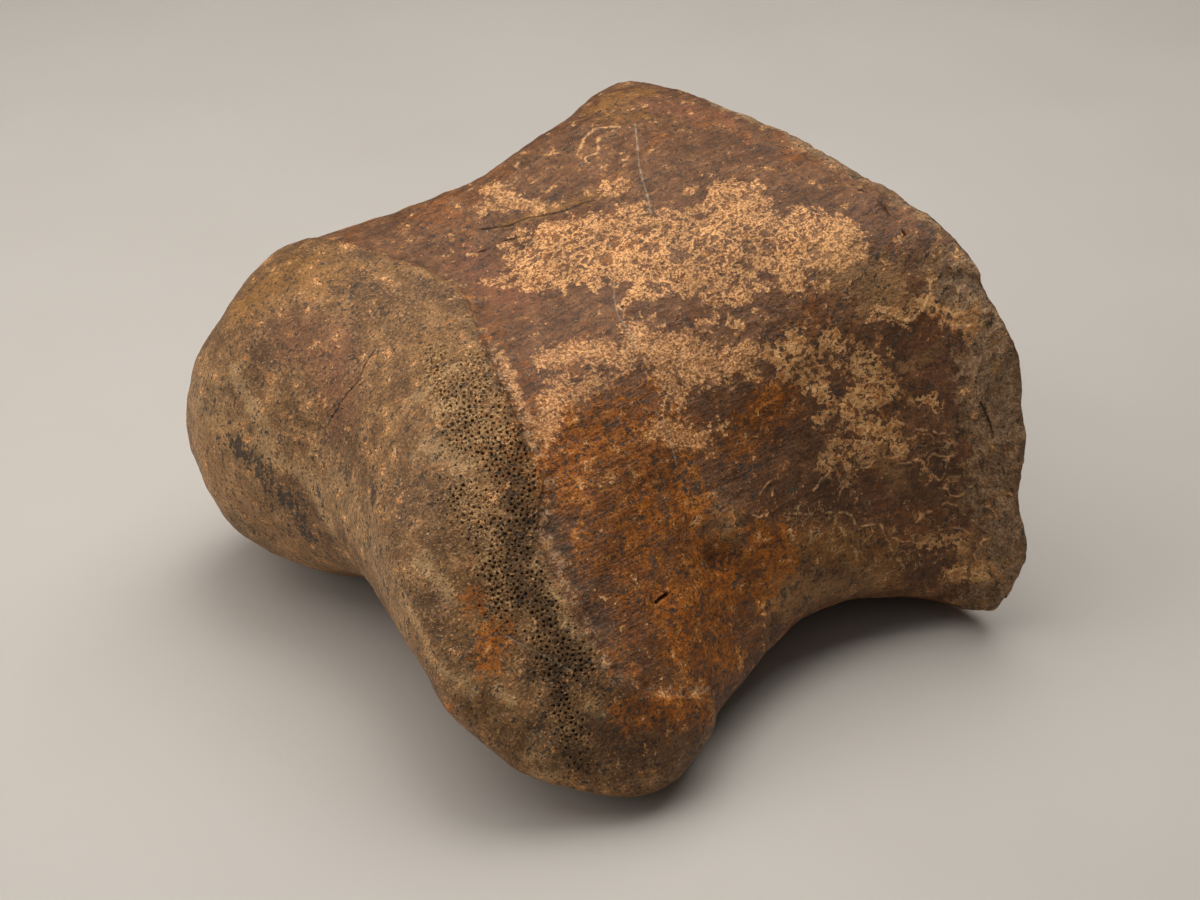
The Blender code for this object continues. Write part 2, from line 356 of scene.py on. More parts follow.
def poreCover(at):
    cover = np.zeros(len(at))
    for line, reach in poreLines:
        cover = np.maximum(cover, 1 - fade(lineDistance(at, line), reach * 0.2, reach * 1.2))
    return cover * fade(pastEdge(at), -0.4, 0.6)


def refineWhereNeeded():
    # extra cuts for pores, cracks, root marks and the seen part of the joint edge
    at = coordinates(skin.data) / mm
    normals = vertexNormals(skin.data)
    seen = normals @ np.array(viewAxes()[2]) > -0.1
    wanted = (poreCover(at) > 0.04) | (np.abs(pastEdge(at)) < 1.2) & seen
    for line, width, *rest in crackLines["paleCracks"] + crackLines["darkCracks"] + rootLines:
        wanted |= lineDistance(at, line) < width + 0.8
    build = bmesh.new()
    build.from_mesh(skin.data)
    build.faces.ensure_lookup_table()
    chosen = {edge for face in build.faces if all(wanted[v.index] for v in face.verts) for edge in face.edges}
    bmesh.ops.subdivide_edges(build, edges=list(chosen), cuts=skinShape["fineCuts"], use_grid_fill=True)
    build.to_mesh(skin.data)
    build.free()


refineWhereNeeded()
print("skin with fine zones:", len(skin.data.vertices), "points")


def scatter(at, weight, spacing, seed):
    # spots at least their own spacing apart, fewer where the weight is low
    random = np.random.default_rng(seed)
    order = random.permutation(np.flatnonzero(weight > 0.05))
    luck, cells, kept = random.random(len(at)), {}, []
    for i in order:
        if luck[i] > weight[i]:
            continue
        key = tuple((at[i] / 1.5).astype(int))
        close = (j for dx in (-1, 0, 1) for dy in (-1, 0, 1) for dz in (-1, 0, 1)
                 for j in cells.get((key[0] + dx, key[1] + dy, key[2] + dz), ()))
        if all(np.sum((at[i] - at[j]) ** 2) > spacing[i] ** 2 for j in close):
            cells.setdefault(key, []).append(i)
            kept.append(i)
    return kept


def cutPores(at, cover):
    # how deep in a pore each point is, from 0 to 1
    wide, close = skinShape["poreSpacing"]
    holes = scatter(at, np.where(cover > 0.05, 0.1 + 0.9 * cover, 0), wide + (close - wide) * cover, 11)
    tree = KDTree(len(holes))
    sizes = np.random.default_rng(12).uniform(*skinShape["poreSizes"], len(holes)) * (0.75 + 0.5 * cover[holes])
    for n, i in enumerate(holes):
        tree.insert(at[i], n)
    tree.balance()
    pore = np.zeros(len(at))
    uneven = 1 + 0.45 * softNoise(at, 0.5, 13, 2)
    for i in np.flatnonzero(cover > 0.03):
        where, n, away = tree.find(at[i])
        pore[i] = 1 - fade(np.array(away / sizes[n] * uneven[i]), 0.5, 1.35)
    return pore


def layRelief(name, at, seed, layers=3):
    height, size = skinShape[name]
    return height * softNoise(at, size, seed, layers)


def layCracks(at):
    # how deep the cracks cut, and how far in a crack of each kind every point is, from 0 to 1
    wobble = softNoise(at, 1.8, 47, 2)
    deep, cracks = np.zeros(len(at)), {}
    for name, lines in crackLines.items():
        cracks[name] = np.zeros(len(at))
        for line, width, depth in lines:
            cut = 1 - fade(lineDistance(at, line) + 0.8 * width * wobble, width * 0.4, width * 1.5)
            deep += depth * cut
            cracks[name] = np.maximum(cracks[name], cut)
    return deep, cracks


def layRoots(at):
    roots = np.zeros(len(at))
    pushed = at + 0.9 * np.stack([softNoise(at, 2.4, seed, 3) for seed in (48, 49, 50)], 1)
    uneven = 0.16 * softNoise(at, 1.1, 52, 2)
    for line, width in rootLines:
        away = lineDistance(pushed, line) + uneven
        roots = np.maximum(roots, 1 - fade(away, width * 0.4, width * 1.4))
    return roots


def shapeSkin():
    mesh = skin.data
    points = coordinates(mesh)
    normals = vertexNormals(mesh)
    at = points / mm
    past = pastEdge(at)

    # where the joint surface, the flat end and its rim are
    wander = past + layRelief("edgeWander", at, 12)
    joint = fade(wander, -0.4, 0.4)
    face = fade(normals[:, 0], 0.5, 0.8) * fade(at[:, 0], 40, 48)
    rimLine = at[:, 0] - skinShape["rimTopLean"] * fade(normals[:, 2], 0.3, 0.8) + layRelief("rimWander", at, 21)
    rim = fade(rimLine, *skinShape["rimFrom"]) * (1 - face)

    # fine detail, which the colours follow, and broad height, which they don't
    detail = layRelief("dents", at, 5) + layRelief("grit", at, 8)
    rise, width, longer = skinShape["grain"]
    detail += rise * softNoise(at, width, 31, 3, stretch=(longer, 1, 1)) * (1 - joint) * (1 - rim)
    crushed, size = skinShape["rimRough"]
    rough = softNoise(at, size, 23, 4)
    detail += rim * crushed * (rough - 0.8 * fade(rough, 0.12, 0.4))
    detail += face * layRelief("faceRough", at, 37, 4)
    height = layRelief("lumps", at, 3)
    knobbly, size = skinShape["rimKnobs"]
    knobs = softNoise(at, size, 27, 2)
    height += fade(at[:, 0], 50, 56) * knobbly * (knobs - 1.1 * fade(knobs, 0.25, 0.5))
    for pixel, reach, rise in marks["swells"]:
        spot = onBone(*pixel)
        if spot is not None:
            height += rise * hump(lineDistance(at, [spot]) + 0.5 * softNoise(at, 2.5, 15, 2), reach)

    # the joint surface stands a little proud along its edge, torn on the shaft's side
    lip = fade(wander, -skinShape["stepSoft"] / 2, skinShape["stepSoft"] / 2)
    height += skinShape["step"] * lip * (1 - fade(past, *skinShape["stepEnds"]))
    behind, wide = skinShape["fringeBand"]
    detail += layRelief("fringe", at, 14) * hump(wander + behind, wide) * fade(at[:, 2], 6, 14)

    porous = np.clip(poreCover(at) * (0.95 + 1.1 * softNoise(at, 4, 41, 4)), 0, 1)
    pore = cutPores(at, porous)
    deep, cracks = layCracks(at)
    roots = layRoots(at)
    detail += layRelief("sponge", at, 43, 2) * porous - deep + skinShape["rootHeight"] * roots

    height += detail - skinShape["poreDepth"] * pore
    moved = points + normals * height[:, None] * mm
    moved[:, 2] = np.maximum(moved[:, 2], 0.05 * mm)
    mesh.vertices.foreach_set("co", moved.astype(np.float32).ravel())
    mesh.update()
    masks = {
        "rim": rim, "face": face, "porous": porous, "pore": pore, "roots": roots,
        "crackPale": cracks["paleCracks"], "crackDark": cracks["darkCracks"],
        "height": 0.5 + detail / 0.8,
        "fringe": hump(past + 1.3, 1.8) * fade(-normals[:, 1], -0.1, 0.3) * fade(at[:, 2], 8, 20),
    }
    return at, normals, past, masks


at, normals, past, masks = shapeSkin()
print("skin shaped,", len(at), "points")


# stains, as strokes in photo pixels with their reach in mm

stains = {
    "net": (              # lace of pale lines on the top
        (((546, 256), (575, 250), (606, 250)), 7.0),
        (((615, 240), (650, 246), (700, 246), (742, 240)), 7.5),
        (((722, 202), (738, 196), (750, 214)), 4.5),
        (((760, 246), (800, 250), (828, 240)), 5.6),
        (((650, 282), (690, 272), (752, 262)), 3.0),
        (((640, 294), (660, 290)), 1.6),
        (((718, 300), (744, 298)), 1.5),
        (((744, 289), (768, 293)), 0.9),
        (((486, 284), (497, 283)), 0.9),
        (((507, 287), (514, 284)), 0.8),
        (((623, 306), (630, 300)), 0.9),
        (((688, 320), (706, 321)), 0.9),
        (((716, 318), (734, 321)), 0.8),
        (((606, 190), (622, 186)), 1.2),
    ),
    "fibre": (            # soft peach bloom on the shoulder and along the edge
        (((548, 358), (580, 353), (622, 354)), 2.6),
        (((642, 340), (665, 352), (690, 348), (716, 364)), 3.6),
        (((652, 350), (668, 378), (672, 396)), 2.6),
        (((688, 372), (722, 366), (748, 352)), 2.8),
        (((562, 384), (552, 408), (545, 432)), 2.4),
        (((575, 396), (602, 374)), 1.6),
        (((497, 352), (512, 392), (528, 424)), 1.3),
        (((740, 350), (752, 372)), 1.8),
        (((660, 430), (700, 440)), 2.4),
        (((495, 186), (505, 192)), 2.2),
        (((488, 206), (520, 200), (542, 208)), 1.8),
    ),
    "crust": (            # crisp pale patches on the near flank
        (((776, 348), (784, 372)), 2.3),
        (((796, 340), (806, 368), (820, 390)), 2.6),
        (((828, 336), (848, 348)), 2.2),
        (((846, 362), (870, 366), (884, 384)), 2.8),
        (((850, 398), (880, 402)), 2.2),
        (((862, 424), (880, 436), (850, 454)), 3.6),
        (((830, 462), (846, 450)), 2.2),
        (((890, 440), (905, 452)), 1.8),
        (((914, 400), (932, 393)), 1.2),
        (((937, 402), (944, 407)), 0.9),
        (((877, 308), (906, 318), (929, 300)), 1.5),
        (((938, 312), (968, 326)), 2.2),
        (((952, 574), (984, 574)), 2.4),
        (((925, 545), (960, 540)), 1.8),
        (((822, 420), (832, 410)), 1.2),
    ),
    "rust": (             # orange, mottled with black
        (((552, 446), (600, 470), (650, 440)), 9.0),
        (((640, 500), (600, 480), (580, 440)), 9.0),
        (((626, 560), (640, 600), (680, 600)), 8.0),
        (((690, 560), (740, 580), (770, 556)), 6.5),
        (((650, 650), (690, 650), (716, 640)), 8.0),
        (((640, 715), (700, 706)), 4.0),
        (((480, 598), (500, 628), (486, 660)), 2.6),
        (((420, 668), (452, 712), (490, 754)), 1.8),
        (((740, 440), (780, 400)), 4.0),
        (((650, 480), (680, 520)), 6.0),
    ),
    "ochre": (            # yellow brown
        (((700, 520), (722, 535), (735, 560)), 2.4),
        (((640, 558), (664, 556)), 1.3),
        (((602, 108), (640, 92)), 3.6),
        (((606, 120), (640, 116)), 2.4),
        (((250, 300), (290, 276), (330, 270)), 5.5),
        (((785, 560), (860, 545), (890, 570)), 4.6),
        (((1014, 330), (1020, 420)), 2.4),
        (((500, 225), (540, 215), (600, 196)), 1.6),
    ),
    "dark": (             # smooth dark brown, streaked along the bone
        (((742, 470), (790, 420), (838, 385)), 3.6),
        (((905, 335), (955, 345), (945, 385)), 4.4),
        (((690, 400), (735, 440), (765, 490)), 2.6),
        (((850, 500), (900, 490), (950, 470)), 5.4),
        (((780, 500), (840, 490)), 3.6),
        (((905, 560), (940, 560)), 2.4),
        (((600, 600), (645, 640)), 3.6),
        (((690, 150), (730, 140), (770, 160)), 2.6),
        (((700, 175), (760, 150)), 1.6),
        (((600, 740), (650, 750), (690, 735)), 4.0),
        (((560, 128), (520, 150)), 3.0),
    ),
    "slate": (            # greyish, nearly bare bone
        (((548, 510), (560, 545), (584, 590)), 1.6),
        (((600, 620), (625, 660), (680, 680)), 2.2),
        (((655, 480), (668, 520)), 1.2),
        (((936, 272), (950, 290), (968, 300)), 2.2),
        (((740, 120), (770, 150)), 1.6),
        (((862, 268), (872, 276)), 1.2),
    ),
    "ruddy": (            # reddish brown
        (((296, 330), (330, 350), (340, 410)), 5.0),
        (((640, 715), (700, 716)), 4.0),
        (((470, 262), (520, 300)), 4.0),
        (((655, 105), (740, 118)), 3.5),
        (((930, 360), (950, 390)), 3.5),
    ),
    "sandy": (            # plain light brown
        (((836, 262), (862, 272), (885, 288)), 5.0),
        (((775, 592), (830, 592), (870, 586)), 3.6),
        (((712, 516), (736, 550)), 3.0),
        (((980, 560), (1002, 592)), 4.6),
        (((200, 440), (240, 500), (300, 550)), 5.0),
        (((880, 450), (900, 490)), 2.4),
        (((940, 296), (962, 320)), 2.4),
        (((480, 430), (490, 500)), 2.4),
        (((905, 365), (935, 350)), 1.2),
        (((640, 735), (690, 735)), 2.6),
    ),
    "curls": (            # where short curling lines lie
        (((880, 440), (920, 446), (955, 462)), 3.0),
        (((905, 545), (950, 530), (985, 550)), 3.6),
        (((800, 520), (850, 540), (885, 570)), 3.6),
        (((940, 590), (985, 580)), 3.0),
        (((840, 480), (870, 462)), 2.0),
    ),
    "black": (            # black mineral stain
        (((492, 350), (508, 400), (528, 456)), 1.6),
        (((512, 470), (520, 520), (524, 590)), 2.6),
        (((530, 600), (562, 640), (590, 680)), 3.0),
        (((550, 660), (566, 700)), 2.2),
        (((700, 556), (722, 566)), 1.5),
        (((590, 720), (640, 750)), 2.6),
        (((540, 740), (590, 770)), 2.6),
        (((740, 470), (750, 480)), 1.4),
    ),
    "flecks": (           # blue-black flecks on the far lobe
        (((236, 444), (262, 468)), 1.6),
        (((256, 474), (292, 504)), 1.7),
        (((296, 512), (312, 540)), 1.4),
        (((316, 490), (326, 510)), 1.1),
        (((190, 380), (214, 404)), 0.8),
        (((374, 470), (372, 500)), 0.9),
    ),
    "pale": (             # pale yellowish places on the joint surface
        (((418, 398), (438, 380), (462, 364)), 1.5),
        (((440, 410), (460, 402)), 1.8),
        (((425, 452), (460, 462)), 2.2),
        (((236, 374), (248, 404), (262, 432)), 2.0),
        (((260, 450), (300, 470), (330, 520)), 2.4),
        (((420, 560), (450, 590)), 1.6),
        (((404, 600), (432, 650), (470, 690)), 1.3),
        (((536, 548), (538, 572)), 0.6),
        (((548, 588), (572, 640), (590, 660)), 1.8),
        (((588, 705), (602, 716)), 1.5),
        (((535, 745), (545, 775)), 2.0),
        (((500, 690), (512, 698)), 1.2),
    ),
    "grime": (            # streaked part of the far lobe
        (((200, 420), (240, 500), (300, 556)), 9.0),
        (((330, 480), (370, 540), (400, 620)), 5.0),
    ),
}


def raggedPlace(seed):
    # the points pushed about, so that a stroke gets a torn edge
    push = [1.7 * softNoise(at, 6, seed + k, 3) + 0.8 * softNoise(at, 1.8, seed + 20 + k, 2) for k in range(3)]
    return at + np.stack(push, 1)


ragged = raggedPlace(101)


def stainCover(name):
    # 1 near each stroke, falling slowly to 0 at twice its reach
    cover = np.zeros(len(at))
    for pixels, reach in stains[name]:
        line = stroke(*pixels)
        if line:
            cover = np.maximum(cover, np.clip(1 - (lineDistance(ragged, line) / reach - 0.3) / 1.5, 0, 1))
    return cover


def hiddenCover(size, seed, start, end):
    # loose patches for the sides that the photograph doesn't show
    shown = fade(normals @ np.array(viewAxes()[2]), 0.0, 0.25)
    return fade(softNoise(at, size, seed, 4), start, end) * (1 - shown)


crisp = fade(-normals[:, 1], 0.1, 0.5)                  # the edge is sharp on the near flank only
jointSide = past + (3.2 - 2.4 * crisp) * softNoise(at, 5, 51, 4)
jointCover = np.maximum(fade(jointSide, -2.5 + 2.2 * crisp, 4.0 - 3.2 * crisp), masks["face"])
masks.update({name: stainCover(name) for name in stains})
masks["joint"] = jointCover
hidden = {                # size, seed, from, to, strength, and where: 1 on the joint surfaces, 0 on the shaft
    "net": (8, 71, 0.24, 0.5, 0.8, 0), "fibre": (11, 72, 0.2, 0.5, 0.8, 0), "crust": (9, 77, 0.22, 0.5, 0.8, 0),
    "rust": (20, 73, 0.0, 0.4, 0.9, 0), "dark": (15, 74, 0.05, 0.4, 0.8, 0), "ochre": (13, 78, 0.15, 0.45, 0.7, 1),
    "black": (10, 75, 0.2, 0.55, 0.7, 1), "pale": (8, 76, 0.2, 0.55, 0.8, 1), "grime": (18, 79, 0.1, 0.4, 0.9, 1),
    "slate": (9, 80, 0.28, 0.5, 0.7, 0),
}
for name, (size, seed, start, end, strength, onJoint) in hidden.items():
    place = jointCover if onJoint else 1 - jointCover
    masks[name] = np.maximum(masks[name], strength * hiddenCover(size, seed, start, end) * place)
masks["porous"] = np.maximum(masks["porous"], 0.6 * masks["face"] * fade(softNoise(at, 9, 81, 3), -0.2, 0.4))
for name, values in masks.items():
    layer = skin.data.attributes.new(name, "FLOAT", "POINT")
    layer.data.foreach_set("value", np.clip(values, 0, 1).astype(np.float32))
print("stains laid:", ", ".join(sorted(masks)))


# flat map of the skin, six charts on one sheet, for anyone who bakes its colours

bakeMap = {
    "name": "OFBake",
    "sheet": 314,         # mm that the map's side stands for
    "gap": 4,
    "endsMeet": 20,       # x in mm between what belongs to either end
}


def layBakeMap():
    mesh = skin.data
    corners = np.empty(len(mesh.loops), np.int32)
    starts = np.empty(len(mesh.polygons), np.int32)
    counts = np.empty(len(mesh.polygons), np.int32)
    mesh.loops.foreach_get("vertex_index", corners)
    mesh.polygons.foreach_get("loop_start", starts)
    mesh.polygons.foreach_get("loop_total", counts)
    facing = np.add.reduceat(normals[corners], starts)
    middle = np.add.reduceat(at[corners], starts) / counts[:, None]
    pull = np.abs(facing)
    pull[(facing[:, 0] > 0) != (middle[:, 0] > bakeMap["endsMeet"]), 0] = 0
    axis = pull.argmax(1)
    side = facing[np.arange(len(axis)), axis] > 0
    low, high = np.array(cadBox) / mm
    wide, deep, tall = high - low
    gap = bakeMap["gap"]
    rowY = (gap, 2 * gap + deep, 3 * gap + deep + tall)     # top and bottom, flanks, ends
    charts = {
        2: (0, 1, ((gap, rowY[0]), (2 * gap + wide, rowY[0]))),
        1: (0, 2, ((gap, rowY[1]), (2 * gap + wide, rowY[1]))),
        0: (1, 2, ((gap, rowY[2]), (2 * gap + deep, rowY[2]))),
    }
    cornerAxis, cornerSide = np.repeat(axis, counts), np.repeat(side, counts)
    flat = np.zeros((len(corners), 2), np.float32)
    for way, (across, up, places) in charts.items():
        for which, (left, bottom) in enumerate(places):
            mine = (cornerAxis == way) & (cornerSide == bool(which))
            spots = at[corners[mine]]
            flat[mine, 0] = left + spots[:, across] - low[across]
            flat[mine, 1] = bottom + spots[:, up] - low[up]
    layer = mesh.uv_layers.new(name=bakeMap["name"])
    layer.data.foreach_set("uv", (flat / bakeMap["sheet"]).ravel())


layBakeMap()
for polygon in skin.data.polygons:
    polygon.use_smooth = True
print("flat map laid")


# material

boneColours = {
    "brown": "#714b2f",
    "brownPale": "#865d3d",
    "brownDeep": "#4b301e",
    "tan": "#7b5731",
    "tanPale": "#a0764a",
    "tanDeep": "#573b25",
    "rust": "#a75c10",
    "rustPale": "#cc7f28",
    "rustDeep": "#482a14",
    "ochre": "#94662f",
    "dark": "#5a3a24",
    "ruddy": "#85543a",
    "slate": "#5d4836",
    "black": "#2f2218",
    "inky": "#3a332c",
    "rim": "#86644a",
    "rimPale": "#b99870",
    "peach": "#e2aa72",
    "peachDeep": "#b67842",
    "crust": "#eeb97c",
    "pale": "#bc9566",
    "fleck": "#c4a983",
    "hole": "#1e150d",
    "crackPale": "#b7a68c",
}


def tint(code):
    parts = [int(code[i:i + 2], 16) / 255 for i in (1, 3, 5)]
    return tuple(c / 12.92 if c <= 0.04045 else ((c + 0.055) / 1.055) ** 2.4 for c in parts) + (1.0,)


class Wires:
    # short ways to add and join shader nodes

    def __init__(self, material):
        material.use_nodes = True
        self.tree = material.node_tree
        self.shader = self.tree.nodes["Principled BSDF"]
        self.place = self.tree.nodes.new("ShaderNodeTexCoord").outputs["Object"]

    def put(self, socket, value):
        if isinstance(value, bpy.types.NodeSocket):
            self.tree.links.new(value, socket)
        else:
            socket.default_value = value

    def maths(self, kind, a, b=0.0, clamp=False):
        node = self.tree.nodes.new("ShaderNodeMath")
        node.operation = kind
        node.use_clamp = clamp
        self.put(node.inputs[0], a)
        self.put(node.inputs[1], b)
        return node.outputs[0]

    def times(self, *values):
        total = values[0]
        for value in values[1:]:
            total = self.maths("MULTIPLY", total, value)
        return total

    def plus(self, *values):
        total = values[0]
        for value in values[1:]:
            total = self.maths("ADD", total, value)
        return total

    def swing(self, pattern, amount):
        # a pattern turned into plus and minus half the amount
        return self.maths("MULTIPLY", self.maths("SUBTRACT", pattern, 0.5), amount)

    def span(self, value, low, high, outLow=0.0, outHigh=1.0):
        node = self.tree.nodes.new("ShaderNodeMapRange")
        node.interpolation_type = "SMOOTHSTEP"
        for socket, v in zip(node.inputs, (value, low, high, outLow, outHigh)):
            self.put(socket, v)
        return node.outputs[0]

    def mask(self, name):
        node = self.tree.nodes.new("ShaderNodeAttribute")
        node.attribute_name = name
        return node.outputs["Fac"]

    def moved(self, stretch, shift):
        node = self.tree.nodes.new("ShaderNodeMapping")
        node.inputs["Location"].default_value = shift
        node.inputs["Scale"].default_value = stretch
        self.put(node.inputs["Vector"], self.place)
        return node.outputs[0]

    def noise(self, size, detail=3.0, roughness=0.6, warp=0.0, stretch=(1, 1, 1), shift=0.0):
        node = self.tree.nodes.new("ShaderNodeTexNoise")
        node.inputs["Scale"].default_value = 1 / (size * mm)
        node.inputs["Detail"].default_value = detail
        node.inputs["Roughness"].default_value = roughness
        node.inputs["Distortion"].default_value = warp
        self.put(node.inputs["Vector"], self.moved(stretch, (shift, shift / 2, 0)))
        return node.outputs["Fac"]

    def warped(self, size, amount, stretch):
        # the place, pushed about by noise
        node = self.tree.nodes.new("ShaderNodeTexNoise")
        node.inputs["Scale"].default_value = 1 / (size * mm)
        node.inputs["Detail"].default_value = 1.4
        self.put(node.inputs["Vector"], self.place)
        push = self.tree.nodes.new("ShaderNodeVectorMath")
        push.operation = "MULTIPLY_ADD"
        self.put(push.inputs[0], node.outputs["Color"])
        push.inputs[1].default_value = (amount * mm * 2,) * 3
        self.put(push.inputs[2], self.moved(stretch, (0, 0, 0)))
        return push.outputs[0]

    def cells(self, size, feature, where):
        node = self.tree.nodes.new("ShaderNodeTexVoronoi")
        node.feature = feature
        node.inputs["Scale"].default_value = 1 / (size * mm)
        self.put(node.inputs["Vector"], where)
        return node.outputs["Distance"]

    def blend(self, share, a, b):
        node = self.tree.nodes.new("ShaderNodeMix")
        node.data_type = "RGBA"
        self.put(node.inputs[0], share)
        self.put(node.inputs[6], tint(a) if isinstance(a, str) else a)
        self.put(node.inputs[7], tint(b) if isinstance(b, str) else b)
        return node.outputs[2]


def fossilBone():
    material = bpy.data.materials.new("fossil bone")
    w = Wires(material)
    c = boneColours
    fine = w.noise(0.45, 2, 0.6)
    speck = w.noise(0.8, 3, 0.7, shift=0.1)
    grains = w.noise(1.3, 4, 0.7, shift=0.2)
    mid = w.noise(3.2, 4, 0.65, shift=0.3)
    broad = w.noise(12, 3, 0.6, shift=0.4)
    streak = w.noise(0.9, 4, 0.65, warp=0.3, stretch=(0.15, 1, 1), shift=0.5)
    wrap = w.noise(1.2, 4, 0.65, warp=0.3, stretch=(0.3, 1, 0.3), shift=0.6)     # streaks round the roller

    def patch(name, near, amount, far, reach, low=0.42, high=0.58):
        # a stain with its edge broken by two patterns
        return w.span(w.plus(w.mask(name), w.swing(near, amount), w.swing(far, reach)), low, high)

    # shaft: brown with fine grain along the bone and specks
    colour = w.blend(w.span(mid, 0.38, 0.62), c["brown"], c["brownPale"])
    colour = w.blend(w.times(w.span(streak, 0.48, 0.64), 0.6), colour, c["brownDeep"])
    colour = w.blend(w.times(w.span(broad, 0.50, 0.66), w.span(grains, 0.4, 0.6), 0.45), colour, c["rust"])
    colour = w.blend(w.times(w.span(speck, 0.54, 0.64), 0.6), colour, c["brownDeep"])
    colour = w.blend(w.times(patch("ruddy", grains, 1.5, mid, 2.0, 0.2, 0.9), 0.6), colour, c["ruddy"])

    # joint surfaces: sandy tan
    sandy = w.blend(w.span(mid, 0.38, 0.62), c["tan"], c["tanPale"])
    sandy = w.blend(w.times(w.span(broad, 0.44, 0.62), 0.55), sandy, c["tanDeep"])
    sandy = w.blend(w.times(w.span(speck, 0.52, 0.62), 0.7), sandy, c["tanDeep"])
    sandy = w.blend(w.times(w.span(fine, 0.58, 0.68), 0.5), sandy, c["pale"])
    sandy = w.blend(w.times(patch("ruddy", grains, 1.5, mid, 2.0, 0.2, 0.9), 0.5), sandy, c["ruddy"])
    grimy = w.blend(w.times(w.span(wrap, 0.50, 0.64), 0.45), w.blend(0.45, sandy, c["pale"]), c["tanDeep"])
    paleStreaks = w.noise(1.0, 3, 0.6, stretch=(0.35, 1, 0.35), shift=0.7)
    grimy = w.blend(w.times(w.span(paleStreaks, 0.50, 0.62), 0.75), grimy, c["pale"])
    sandy = w.blend(w.times(w.mask("grime"), 0.85), sandy, grimy)
    colour = w.blend(patch("joint", speck, 1.0, mid, 0.8), colour, sandy)

    # yellow-brown smears
    colour = w.blend(w.times(patch("ochre", grains, 2.4, mid, 2.4, 0.3, 0.9), 0.6), colour, c["ochre"])
    colour = w.blend(w.times(patch("sandy", grains, 2.4, mid, 2.0, 0.2, 0.8), 0.8), colour, c["tanPale"])

    # rust, mottled down to small black specks
    rust = w.blend(w.span(grains, 0.36, 0.56), c["rustDeep"], c["rust"])
    rust = w.blend(w.times(w.span(mid, 0.44, 0.62), w.span(fine, 0.36, 0.62), 0.75), rust, c["rustPale"])
    rust = w.blend(w.times(w.span(broad, 0.46, 0.62), w.span(grains, 0.42, 0.56), 0.6), rust, c["dark"])
    rust = w.blend(w.times(w.span(speck, 0.55, 0.63), 0.7), rust, c["rustDeep"])
    colour = w.blend(w.times(patch("rust", grains, 2.6, mid, 2.4, 0.25, 0.75), 0.9), colour, rust)

    # smooth dark and greyish places
    colour = w.blend(w.times(patch("dark", streak, 3.0, mid, 2.4, 0.3, 0.75), 0.6), colour, c["dark"])
    colour = w.blend(w.times(patch("slate", streak, 2.4, grains, 2.6, 0.4, 0.9), 0.5), colour, c["slate"])

    # rim of crushed bone
    rimColour = w.blend(w.span(speck, 0.40, 0.60), c["rim"], c["rimPale"])
    rimColour = w.blend(w.times(w.span(grains, 0.52, 0.64), 0.5), rimColour, c["brownDeep"])
    rimColour = w.blend(w.times(w.span(mid, 0.5, 0.62), 0.5), rimColour, c["ochre"])
    colour = w.blend(w.times(patch("rim", grains, 2.2, mid, 2.2, 0.3, 0.8), 0.9), colour, rimColour)

    # pale and black places on the joint surface, and its worn spongy bone
    paleShare = w.times(patch("pale", wrap, 2.6, speck, 2.8, 0.42, 0.7), 0.7)
    colour = w.blend(paleShare, colour, c["pale"])
    ridges = w.span(w.plus(speck, w.swing(fine, 0.6), w.times(w.mask("black"), -0.10)), 0.42, 0.56)
    spongy = w.blend(ridges, c["tan"], c["pale"])
    spongy = w.blend(w.times(w.span(grains, 0.52, 0.60), 0.45), spongy, c["tanDeep"])
    colour = w.blend(w.times(patch("porous", speck, 2.4, mid, 2.4, 0.3, 0.9), 0.7), colour, spongy)
    blackShare = w.times(patch("black", speck, 4.2, mid, 2.6, 0.4, 0.8), 0.55)
    colour = w.blend(blackShare, colour, c["black"])
    colour = w.blend(w.times(patch("flecks", speck, 5.0, wrap, 4.0, 0.5, 0.62), 0.85), colour, c["inky"])

    # peach bloom and crisp crust
    bloomColour = w.blend(w.span(fine, 0.38, 0.6), c["peachDeep"], c["peach"])
    bloom = w.times(patch("fibre", grains, 3.0, speck, 2.0, 0.38, 0.8), w.span(speck, 0.34, 0.58, 0.3, 1.0), 0.9)
    colour = w.blend(bloom, colour, bloomColour)
    crustColour = w.blend(w.span(w.plus(grains, w.swing(fine, 0.6)), 0.46, 0.62), c["crust"], c["peachDeep"])
    gaps = w.noise(1.0, 3, 0.62, warp=0.6, shift=0.9)
    crust = w.times(patch("crust", grains, 3.0, mid, 2.2, 0.5, 0.6), w.span(gaps, 0.57, 0.51), 0.92)
    colour = w.blend(crust, colour, crustColour)

    # lace of root lines: a coarse and a fine net that close up where it is thick
    thick = w.plus(w.mask("net"), w.swing(mid, 2.6), w.swing(grains, 0.6))
    coarse = w.cells(3.5, "DISTANCE_TO_EDGE", w.warped(2.6, 2.2, (0.62, 1, 1)))
    little = w.cells(1.6, "DISTANCE_TO_EDGE", w.warped(1.4, 1.0, (0.62, 1, 1)))
    coarseWidth = w.span(thick, 0.30, 1.3, 0.02, 0.12)
    coarseNet = w.maths("SUBTRACT", 1.0, w.span(coarse, w.times(coarseWidth, 0.75), coarseWidth), clamp=True)
    littleWidth = w.span(thick, 0.95, 1.8, 0.0, 0.16)
    littleNet = w.maths("SUBTRACT", 1.0, w.span(little, w.times(littleWidth, 0.7), littleWidth), clamp=True)
    coarseNet = w.times(coarseNet, w.span(grains, 0.36, 0.42))
    littleNet = w.times(littleNet, w.span(speck, 0.46, 0.52))
    net = w.times(w.maths("MAXIMUM", coarseNet, littleNet), w.span(thick, 0.30, 0.40), w.span(fine, 0.24, 0.34))
    colour = w.blend(w.times(net, 0.85), colour, w.blend(w.span(fine, 0.36, 0.56), c["peachDeep"], c["peach"]))

